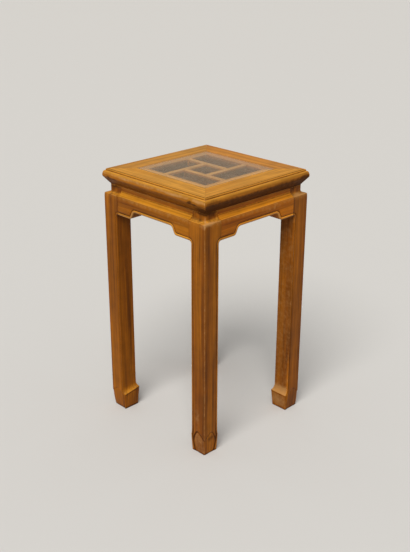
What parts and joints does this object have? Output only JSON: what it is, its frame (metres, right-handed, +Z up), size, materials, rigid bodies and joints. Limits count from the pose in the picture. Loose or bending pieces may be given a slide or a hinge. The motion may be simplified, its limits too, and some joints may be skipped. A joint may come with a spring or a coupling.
{
  "type": "plant stand",
  "caption": "Square waisted hardwood plant stand with hoof feet, cusped aprons and a mitred top holding a pinwheel lattice under a drop-in glass pane.",
  "frame": {"origin": "on the floor, under the middle of the stand", "axes": "+Z up, X and Y along the sides of the square top, front at -Y"},
  "size_m": [0.305, 0.305, 0.562],
  "materials": {
    "rail_wood": "satin wax",
    "apron_wood": "satin wax",
    "leg_wood": "satin wax",
    "lattice_wood": "satin wax",
    "pane_glass": "polished"
  },
  "bodies": {
    "stand": {"top_rail_front": "rail_wood", "top_rail_back": "rail_wood", "top_rail_left": "rail_wood", "top_rail_right": "rail_wood", "lattice_bar_front": "lattice_wood", "lattice_bar_back": "lattice_wood", "lattice_bar_left": "lattice_wood", "lattice_bar_right": "lattice_wood", "waist_strip_front": "apron_wood", "waist_strip_back": "apron_wood", "waist_strip_left": "apron_wood", "waist_strip_right": "apron_wood", "apron_front": "apron_wood", "apron_back": "apron_wood", "apron_left": "apron_wood", "apron_right": "apron_wood", "leg_front_left": "leg_wood", "leg_front_right": "leg_wood", "leg_back_left": "leg_wood", "leg_back_right": "leg_wood"},
    "pane": {"glass_pane": "pane_glass"}
  },
  "joints": [
    {"name": "pane_lift", "type": "slide", "parent": "stand", "child": "pane", "axis": [0, 0, 1], "range_m": [0, 0.04]}
  ]
}
